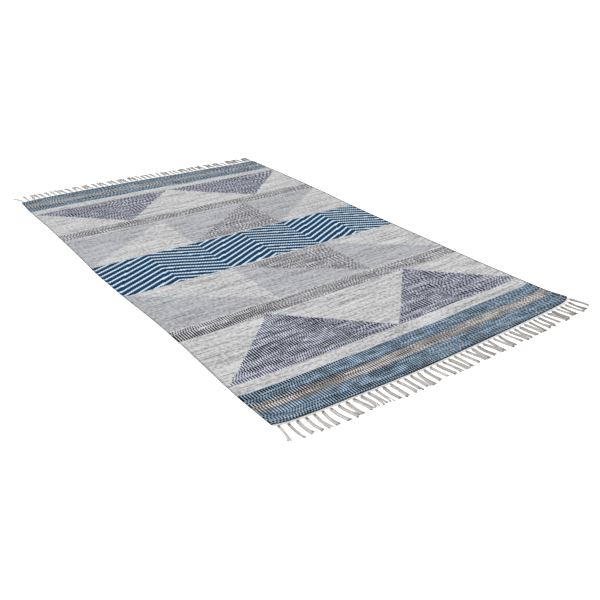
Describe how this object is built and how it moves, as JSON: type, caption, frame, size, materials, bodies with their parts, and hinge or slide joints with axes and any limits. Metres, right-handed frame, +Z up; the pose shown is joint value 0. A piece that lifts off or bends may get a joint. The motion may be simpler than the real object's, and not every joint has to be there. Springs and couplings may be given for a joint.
{
  "type": "kilim rug",
  "caption": "Rectangular flat-woven kilim rug with a ribbed weave, lying flat, and a row of knotted warp tassels along both short ends.",
  "frame": {"origin": "middle of the footprint, on the floor that the rug lies on", "axes": "+X across the rug's width, +Y along its length from the near end to the far end, +Z up"},
  "size_m": [1.5346, 2.6438, 0.0085],
  "materials": {
    "woven_wool": "matte wool and cotton flatweave in petrol blue, indigo melange, ivory, cool grey and taupe",
    "warp_cotton": "matte undyed cotton yarn, off-white to grey-beige"
  },
  "bodies": {
    "root": {"cloth": "woven_wool", "fringe_near": "warp_cotton", "fringe_far": "warp_cotton"}
  },
  "joints": []
}
